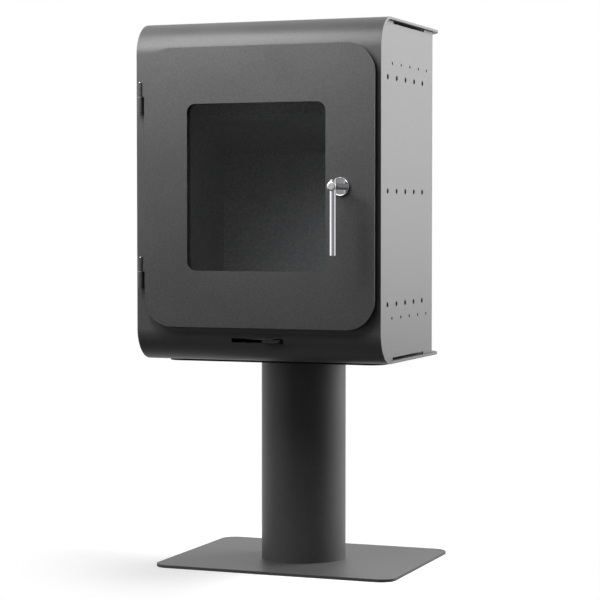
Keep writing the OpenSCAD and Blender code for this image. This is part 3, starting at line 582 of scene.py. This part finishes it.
# The slot lies in the fold, where the sheet curves away, so its cutter reaches further in
cut(body_sheet, front_cutter(AIR_SLOT, low.y - PAST, low.y + 2 * PAST))
break_edges(body_sheet, 0.0006)
dress(body_sheet, "stove_body", "stove_paint", "outer_wrap")

# %% [markdown]
# ## The side panels
#
# Each side is closed by a 3 mm panel that sits 7 mm inside the folded sheet. Warm air leaves
# through three rows of 10 mm holes, a row of 6 mm holes above the top one and another below the
# lowest, and a slot along the top and the bottom edge. One hole of a row is modelled and an Array
# copies it. All rows are joined into one cutter, so that the panel is cut only once.

# %% Side panels with their holes
HOLE_PITCH = 0.0533
BIG_HOLE = 0.010
SMALL_HOLE = 0.006
BIG_ROWS = (-0.2125, 0, 0.2125)  # heights above the panel's middle
SMALL_ROWS = (-0.239, 0.239)
FIRST_HOLE = 0.060  # this and the next two are distances behind the body's front
SLOT_START = 0.092
SLOT_END = 0.282
SLOT_HEIGHT = 0.005
SHEET_PLAY = 0.0002  # between a panel's corner and the fold around it
REACH = 0.006  # half the length of a cutter across a panel


def hole_row(x, y, z, diameter):
    """Five rods through a panel."""
    row = add_rod("cutter", (x, y, z), diameter / 2, 2 * REACH, 0, vertices=40)
    modify(
        row, "ARRAY", count=5, use_relative_offset=False, use_constant_offset=True,
        constant_offset_displace=(0, HOLE_PITCH, 0),
    )
    return row


def side_panel(name, solid):
    """A side panel with its five rows of holes and its two slots."""
    low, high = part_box(solid)
    x = (low.x + high.x) / 2
    middle = (low.z + high.z) / 2
    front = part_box("outer_wrap")[0].y
    first = front + FIRST_HOLE
    panel = add_block(name, low, high)
    round_corners(panel, 0, FOLD - SHEET - SHEET_PLAY, 20, lambda m: m.y < low.y + NEAR)
    cutters = [hole_row(x, first, middle + rise, BIG_HOLE) for rise in BIG_ROWS]
    for rise in SMALL_ROWS:
        cutters.append(hole_row(x, first + HOLE_PITCH / 2, middle + rise, SMALL_HOLE))
    for z in (low.z, high.z):
        corner = (x - REACH, front + SLOT_START, z - SLOT_HEIGHT)
        cutters.append(add_block("cutter", corner, (x + REACH, front + SLOT_END, z + SLOT_HEIGHT)))
    make_active(cutters[0])
    for cutter in cutters:
        cutter.select_set(True)
    bpy.ops.object.join()
    cut(panel, bpy.context.object)
    break_edges(panel, 0.0004, angle=40)
    dress(panel, "stove_body", "stove_paint", solid)


side_panel("side_panel_left", "left_side_panel")
side_panel("side_panel_right", "right_side_panel")

# %% [markdown]
# ## The door
#
# The door is one 5 mm plate with large round corners and a window. Beside each hinge a small ear
# with a slanting top reaches out to the door's half of the hinge. An ear is a block with one upper
# edge pulled down, and a Boolean joins it to the plate, so that one edge runs round both.

# %% Door plate
DOOR_ROUND = 0.055
EAR = 0.003  # how far an ear stands out
EAR_SLANT = 0.012
EAR_LAP = 0.002  # how far an ear runs into the plate that it is joined to
KNUCKLE = 0.0265  # length of the door's half of a hinge
WINDOW_HALF = (0.140, 0.158)  # half its width and half its height
WINDOW_ROUND = 0.017
STEM_HOLE = 0.009  # radius

low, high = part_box("door_plate")
door = add_block("door_plate_steel", (low.x + EAR, low.y, low.z), high)
round_corners(door, 1, DOOR_ROUND, 24)

hinge_low, hinge_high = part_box("door_knuckles")
for base in (hinge_low.z, hinge_high.z - KNUCKLE):
    ear_top = base + KNUCKLE + EAR_SLANT
    ear = add_block("ear", (low.x, low.y, base), (low.x + EAR + EAR_LAP, high.y, ear_top))
    pick(
        ear, "EDGE",
        lambda m, way: abs(way.y) > 0.9 and m.x < low.x + NEAR and m.z > ear_top - NEAR,
    )
    bpy.ops.transform.translate(value=(0, 0, -EAR_SLANT))
    close_edit()
    join_on(door, ear)

glass_low, glass_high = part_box("door_glass")
pane = (glass_low + glass_high) / 2
half_width, half_height = WINDOW_HALF
window = front_cutter(
    ((pane.x - half_width, pane.z - half_height), (pane.x + half_width, pane.z + half_height)),
    low.y - PAST, high.y + PAST,
)
round_corners(window, 1, WINDOW_ROUND, 12)
cut(door, window)
stem_low, stem_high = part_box("handle_stem")
stem = (stem_low + stem_high) / 2
cut(door, add_rod("cutter", (stem.x, (low.y + high.y) / 2, stem.z), STEM_HOLE, 2 * PAST, 1))
break_edges(door, EDGE)
dress(door, "door", "stove_paint", "door_plate")

# %% [markdown]
# ## The hinges
#
# Each hinge is a pair of short steel barrels on a pin. The lower barrel is welded to the body by a
# foot, the upper one to the door, and a steel washer turns between them. The barrels are painted
# with the body, while the pin's polished round tip stands out above them and catches the light.
# One hinge is modelled, and the other is a copy with its own mesh, moved up in edit mode.


# %% Hinge barrels and pins
def second_hinge(piece, rise):
    """A copy of a piece of the lower hinge, at the upper one."""
    make_active(piece)
    bpy.ops.object.duplicate()
    copy = bpy.context.object
    copy.name = piece.name.replace("lower", "upper")
    copy.data.name = copy.name
    pick(copy, "FACE", lambda middle, way: True)
    bpy.ops.transform.translate(value=(0, 0, rise))
    close_edit()
    return copy


low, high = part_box("hinge_pins")
axis = ((low.x + high.x) / 2, (low.y + high.y) / 2)
BARREL = 0.00475  # radius
FIXED = 0.031  # length of the fixed half of a hinge
FOOT_INSET = 0.0005  # the foot and the barrel's side aren't flush
STRAP_HALF = 0.0025
PIN_RADIUS = 0.0025
TIP = 0.0012  # rounding of the pin's tip
rise = hinge_high.z - KNUCKLE - hinge_low.z

fixed_low, fixed_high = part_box("fixed_knuckles")
fixed = add_rod("hinge_barrel_fixed_lower", (*axis, fixed_low.z + FIXED / 2), BARREL, FIXED, 2)
foot = add_block(
    "foot", (axis[0] - BARREL + FOOT_INSET, axis[1], fixed_low.z),
    (axis[0] + BARREL - FOOT_INSET, fixed_high.y, fixed_low.z + FIXED),
)
join_on(fixed, foot)
break_edges(fixed, 0.0005)
upper = second_hinge(fixed, rise)
dress(fixed, "stove_body", "stove_paint", "fixed_knuckles")
dress(upper, "stove_body", "stove_paint", "fixed_knuckles")

moving = add_rod("hinge_barrel_door_lower", (*axis, hinge_low.z + KNUCKLE / 2), BARREL, KNUCKLE, 2)
strap = add_block(
    "strap", (axis[0], axis[1], hinge_low.z),
    (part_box("door_plate")[0].x, axis[1] + STRAP_HALF, hinge_low.z + KNUCKLE),
)
join_on(moving, strap)
break_edges(moving, 0.0005)
upper = second_hinge(moving, rise)
dress(moving, "door", "stove_paint", "door_knuckles")
dress(upper, "door", "stove_paint", "door_knuckles")

pin_top = high.z - rise
pin = add_rod("hinge_pin_lower", (*axis, (low.z + pin_top) / 2), PIN_RADIUS, pin_top - low.z, 2, 32)
pick(pin, "EDGE", lambda m, way: abs(way.z) < 0.1 and m.z > pin_top - NEAR)
bpy.ops.mesh.bevel(offset=TIP, segments=5, profile=0.5, affect="EDGES")
close_edit()
break_edges(pin, 0.0002, angle=60)
upper = second_hinge(pin, rise)
dress(pin, "stove_body", "stainless", "hinge_pins")
dress(upper, "stove_body", "stainless", "hinge_pins")

# %% [markdown]
# ## The rope seal
#
# Behind the door plate the rope lies between two thin steel strips. A plane with rounded corners
# has the rope's run as its border. With its face removed, the border becomes a curve, which gets
# a round section, and the tube is then pressed a little flat, as a rope is by its door.

# %% Rope seal
ROPE_RADIUS = 0.0045
ROPE_BEND = 0.031

low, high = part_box("door_rope")
middle = (low + high) / 2

bpy.ops.mesh.primitive_plane_add(size=1, location=middle, rotation=(math.pi / 2, 0, 0))
seal = bpy.context.object
seal.scale = (high.x - low.x - 2 * ROPE_RADIUS, high.z - low.z - 2 * ROPE_RADIUS, 1)
settle(seal, "rope_seal")
bpy.ops.object.mode_set(mode="EDIT")
bpy.ops.mesh.select_all(action="SELECT")
bpy.ops.mesh.bevel(offset=ROPE_BEND, segments=12, profile=0.5, affect="VERTICES")
bpy.ops.mesh.select_all(action="SELECT")
bpy.ops.mesh.delete(type="ONLY_FACE")
close_edit()
bpy.ops.object.convert(target="CURVE")
seal = bpy.context.object
seal.data.bevel_depth = ROPE_RADIUS
seal.data.bevel_resolution = 4
bpy.ops.object.convert(target="MESH")
seal = bpy.context.object
pick(seal, "FACE", lambda middle, normal: True)
flatten = (high.y - low.y) / (2 * ROPE_RADIUS)
bpy.ops.transform.resize(value=(1, flatten, 1), center_override=middle)
bpy.ops.mesh.normals_make_consistent(inside=False)
close_edit()
bpy.ops.object.shade_smooth()
dress(seal, "door", "rope", "door_rope")

# %% [markdown]
# ## The handle
#
# The handle is a polished steel bar that hangs from a round stem. A domed screw holds it from the
# front, and a turned rosette covers the hole in the door. The bar's ends have a small rounded
# edge. The dome is a short cylinder whose front edge is bevelled so widely that it turns into a
# dome, and it is brushed to a satin, so that it reads as one even pale disc. The rosette gets a
# raised rim from two insets.

# %% Bar, domed screw and rosette
CAP_THICK = 0.004
CAP_ROUND = 0.0032
SHANK_RADIUS = 0.003
RIM = 0.0010
RIM_SLOPE = 0.0004

low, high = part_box("handle_bar")
middle = (low + high) / 2
bar = add_rod("handle_bar_round", middle, (high.x - low.x) / 2, high.z - low.z, 2, vertices=64)
break_edges(bar, 0.0009, segments=4)
dress(bar, "handle", "stainless", "handle_bar")

low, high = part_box("handle_screw")
middle = (low + high) / 2
cap = add_rod(
    "handle_screw_domed", (middle.x, low.y + CAP_THICK / 2, middle.z), (high.x - low.x) / 2,
    CAP_THICK, 1, vertices=64,
)
pick(cap, "EDGE", lambda m, way: abs(way.y) < 0.1 and m.y < low.y + NEAR)
bpy.ops.mesh.bevel(offset=CAP_ROUND, segments=8, profile=0.5, affect="EDGES")
close_edit()
break_edges(cap, 0.0003, angle=60)
dress(cap, "handle", "stainless", finish=satin_steel)
shank = add_rod(
    "handle_screw_shank", (middle.x, (low.y + CAP_THICK + high.y) / 2, middle.z), SHANK_RADIUS,
    high.y - low.y - CAP_THICK, 1, vertices=32,
)
break_edges(shank, 0.0003)
dress(shank, "handle", "stainless")
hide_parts("handle_screw")

low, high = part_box("handle_rosette")
middle = (low + high) / 2
rosette = add_rod("rosette_turned", middle, (high.x - low.x) / 2, high.y - low.y, 1, vertices=128)
pick(rosette, "FACE", lambda m, normal: normal.y < -0.9)
bpy.ops.mesh.inset(thickness=RIM)
bpy.ops.mesh.inset(thickness=RIM_SLOPE, depth=-RIM_SLOPE)
close_edit()
break_edges(rosette, 0.0003, segments=3)
dress(rosette, "door", "stainless", "handle_rosette")

# %% [markdown]
# ## The air lever
#
# A steel tongue looks out of the slot under the door and slopes down to a thin front edge. Pulled
# to the left it throttles the air. It starts as the short block inside the slot. The block's front
# is pulled out, the new front's upper edge is lowered, and the outer corners are rounded.

# %% Air lever
LEVER_ROOT = 0.0065  # the level part inside the slot
LEVER_FALL = 0.0046  # how far the top falls from there to the front
LEVER_ROUND = 0.003

low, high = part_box("air_lever")
lever = add_block("air_lever_tongue", (low.x, high.y - LEVER_ROOT, low.z), high)
pick(lever, "FACE", lambda middle, normal: normal.y < -0.9)
reach = high.y - LEVER_ROOT - low.y
bpy.ops.mesh.extrude_region_move(TRANSFORM_OT_translate={"value": (0, -reach, 0)})
close_edit()
pick(lever, "EDGE", lambda m, way: m.y < low.y + NEAR and m.z > high.z - NEAR)
bpy.ops.transform.translate(value=(0, 0, -LEVER_FALL))
close_edit()
round_corners(lever, 2, LEVER_ROUND, 6, lambda middle: middle.y < low.y + NEAR)
break_edges(lever, 0.0004)
# The tongue lies in shade under the door, and its black paint is painted shade.
dress(lever, "air_control", "black_paint", "air_lever")

# %% [markdown]
# ## Floor, light and background
#
# The studio has a white floor and five soft lamps that the camera doesn't see. Three hang in front
# of the stove. lamp_left and lamp_above draw the long highlight on the fold. lamp_near hangs close
# before the door's upper half and lets the front fade towards its lower edge. Together they give
# the handle its small slanting shadow. Two large lamps on the right, one of them high up, make the
# side panel shine.
#
# The floor is a plain disc. Away from the stove it shows pure white to the camera, so that it has
# no visible end, and near the stove it takes the shadows.
#
# What polished parts mirror is set apart from what lights the paint. They see a room that is white
# behind the stove and dark in front, with a white card on each side. Light that bounces comes from
# a nearly black room, which keeps the paint's own gradient.


# %% Floor
def mirror_rays(tree, light_path):
    """1 for rays that come off something shiny or through glass, and 0 for all others."""
    either = add_node(
        tree, "ShaderNodeMath", {"operation": "MAXIMUM"},
        links={
            0: light_path.outputs["Is Glossy Ray"], 1: light_path.outputs["Is Transmission Ray"]
        },
    )
    return either.outputs[0]


FLOOR_RADIUS = 4.0

bpy.ops.mesh.primitive_circle_add(vertices=96, radius=FLOOR_RADIUS, fill_type="NGON")
floor = settle(bpy.context.object, "floor")
floor_finish = bpy.data.materials.new("studio_floor_white")
floor_finish.use_nodes = True
tree = floor_finish.node_tree
tree.nodes.clear()
place = add_node(tree, "ShaderNodeTexCoord").outputs["Object"]
away = add_node(tree, "ShaderNodeVectorMath", {"operation": "LENGTH"}, links={0: place})
fade = add_node(
    tree, "ShaderNodeMapRange", {"interpolation_type": "SMOOTHSTEP"},
    values={"From Min": 0.28, "From Max": 0.60}, links={"Value": away.outputs["Value"]},
)
light_path = add_node(tree, "ShaderNodeLightPath")
across = add_node(tree, "ShaderNodeSeparateXYZ", links={"Vector": place})
# The camera sees a pale floor with shadows near the stove, and pure white further out
matt = add_node(tree, "ShaderNodeBsdfDiffuse", values={"Color": linear("e8e8e8")})
lift = add_node(tree, "ShaderNodeEmission", values={"Strength": 0.30})
near = add_node(tree, "ShaderNodeAddShader", links={0: matt.outputs[0], 1: lift.outputs[0]})
far = add_node(tree, "ShaderNodeEmission", values={"Strength": 1.0})
to_camera = add_node(
    tree, "ShaderNodeMixShader",
    links={0: fade.outputs["Result"], 1: near.outputs[0], 2: far.outputs[0]},
)
# Reflections see it white behind the stove and dark in front, where the studio is unlit
depth = add_node(
    tree, "ShaderNodeMapRange", {"interpolation_type": "SMOOTHSTEP"},
    values={"From Min": -0.7, "From Max": 0.3, "To Min": 0.06, "To Max": 1.0},
    links={"Value": across.outputs["Y"]},
)
mirrored = add_node(tree, "ShaderNodeEmission", links={"Strength": depth.outputs["Result"]})
# Light that bounces meets a dark grey, so that the floor doesn't brighten the stove from below
dull = add_node(tree, "ShaderNodeBsdfDiffuse", values={"Color": linear("5a5a5a")})
to_light = add_node(
    tree, "ShaderNodeMixShader",
    links={0: mirror_rays(tree, light_path), 1: dull.outputs[0], 2: mirrored.outputs[0]},
)
mixed = add_node(
    tree, "ShaderNodeMixShader",
    links={0: light_path.outputs["Is Camera Ray"], 1: to_light.outputs[0], 2: to_camera.outputs[0]},
)
add_node(tree, "ShaderNodeOutputMaterial", links={"Surface": mixed.outputs["Shader"]})
floor.data.materials.append(floor_finish)
print("floor: a disc of", 2 * FLOOR_RADIUS, "m")


# %% Lamps
def add_lamp(name, place, target, width, height, power):
    """A soft rectangular lamp that faces a point. The camera doesn't see it."""
    bpy.ops.object.light_add(type="AREA", location=place)
    lamp = bpy.context.object
    lamp.name = name
    lamp.data.shape = "RECTANGLE"
    lamp.data.size = width
    lamp.data.size_y = height
    lamp.data.energy = power
    way = Vector(target) - Vector(place)
    lamp.rotation_euler = way.to_track_quat("-Z", "Y").to_euler()
    lamp.visible_camera = False
    print(name, "-", power, "W")


FRONT = (0.0, -0.26, 0.75)  # the middle of the door
add_lamp("lamp_left", (-0.90, -1.27, 1.62), FRONT, 0.35, 0.35, 9)
add_lamp("lamp_above", (-0.42, -0.86, 1.95), FRONT, 0.60, 0.35, 11)
add_lamp("lamp_near", (-0.20, -0.80, 1.36), (-0.1, -0.26, 1.0), 0.90, 0.30, 5)
add_lamp("lamp_back_right", (1.55, 1.75, 1.10), (0.2, -0.1, 0.70), 1.3, 1.6, 30)
add_lamp("lamp_high_right", (1.20, 0.80, 2.00), (0.2, -0.1, 0.80), 0.8, 0.8, 52)

# %% World
world = bpy.data.worlds.new("studio")
bpy.context.scene.world = world
world.use_nodes = True
tree = world.node_tree
tree.nodes.clear()
light_path = add_node(tree, "ShaderNodeLightPath")
way = add_node(tree, "ShaderNodeTexCoord").outputs["Generated"]
parts = add_node(tree, "ShaderNodeSeparateXYZ", links={"Vector": way})
# Polished parts see a white studio behind the stove and a darker room in front of it
room = add_node(
    tree, "ShaderNodeMapRange",
    values={"From Min": -0.25, "From Max": 0.35, "To Min": 0.20, "To Max": 1.0},
    links={"Value": parts.outputs["Y"]},
)
# The room's front brightens to the right and downwards, which the window shows as a soft sheen
slope = add_node(
    tree, "ShaderNodeMath", {"operation": "SUBTRACT"},
    links={0: parts.outputs["X"], 1: parts.outputs["Z"]},
)
sheen = add_node(
    tree, "ShaderNodeMapRange", {"interpolation_type": "SMOOTHSTEP"},
    values={"From Min": -0.44, "From Max": -0.28, "To Min": 0.0, "To Max": 0.60},
    links={"Value": slope.outputs[0]},
)
# It dims again towards where the camera stands
dim = add_node(
    tree, "ShaderNodeMapRange",
    values={"From Min": -0.20, "From Max": 0.10, "To Min": 1.0, "To Max": 0.5},
    links={"Value": parts.outputs["X"]},
)
sheen = add_node(
    tree, "ShaderNodeMath", {"operation": "MULTIPLY"},
    links={0: sheen.outputs["Result"], 1: dim.outputs["Result"]},
)
room = add_node(
    tree, "ShaderNodeMath", {"operation": "MAXIMUM"},
    links={0: room.outputs["Result"], 1: sheen.outputs[0]},
)
# White cards stand to the left and to the right: the round handle bar shows each as a bright
# stripe. A card is a cone of directions: its middle, and the cosines at its edge and where it is
# at its full strength.
CARD_STRENGTH = 1.5
for towards, edge, full in (
    ((-0.894, -0.436, 0.105), 0.80, 0.857),
    ((0.900, 0.420, 0.050), 0.87, 0.92),
):
    facing = add_node(
        tree, "ShaderNodeVectorMath", {"operation": "DOT_PRODUCT"}, values={1: towards},
        links={0: way},
    )
    card = add_node(
        tree, "ShaderNodeMapRange", {"interpolation_type": "SMOOTHSTEP"},
        values={"From Min": edge, "From Max": full, "To Min": 0.0, "To Max": CARD_STRENGTH},
        links={"Value": facing.outputs["Value"]},
    )
    room = add_node(
        tree, "ShaderNodeMath", {"operation": "MAXIMUM"},
        links={0: room.outputs[0], 1: card.outputs["Result"]},
    )
WHITE = (1, 1, 1, 1)
fill = add_node(tree, "ShaderNodeBackground", values={"Color": WHITE, "Strength": 0.03})
mirror = add_node(
    tree, "ShaderNodeBackground", values={"Color": WHITE}, links={"Strength": room.outputs[0]}
)
white = add_node(tree, "ShaderNodeBackground", values={"Color": WHITE, "Strength": 1.0})
unseen = add_node(
    tree, "ShaderNodeMixShader",
    links={0: mirror_rays(tree, light_path), 1: fill.outputs[0], 2: mirror.outputs[0]},
)
everything = add_node(
    tree, "ShaderNodeMixShader",
    links={0: light_path.outputs["Is Camera Ray"], 1: unseen.outputs[0], 2: white.outputs[0]},
)
add_node(tree, "ShaderNodeOutputWorld", links={"Surface": everything.outputs[0]})
bpy.context.scene.view_settings.view_transform = "Standard"
print("world: white to the camera, a soft fill for the light")
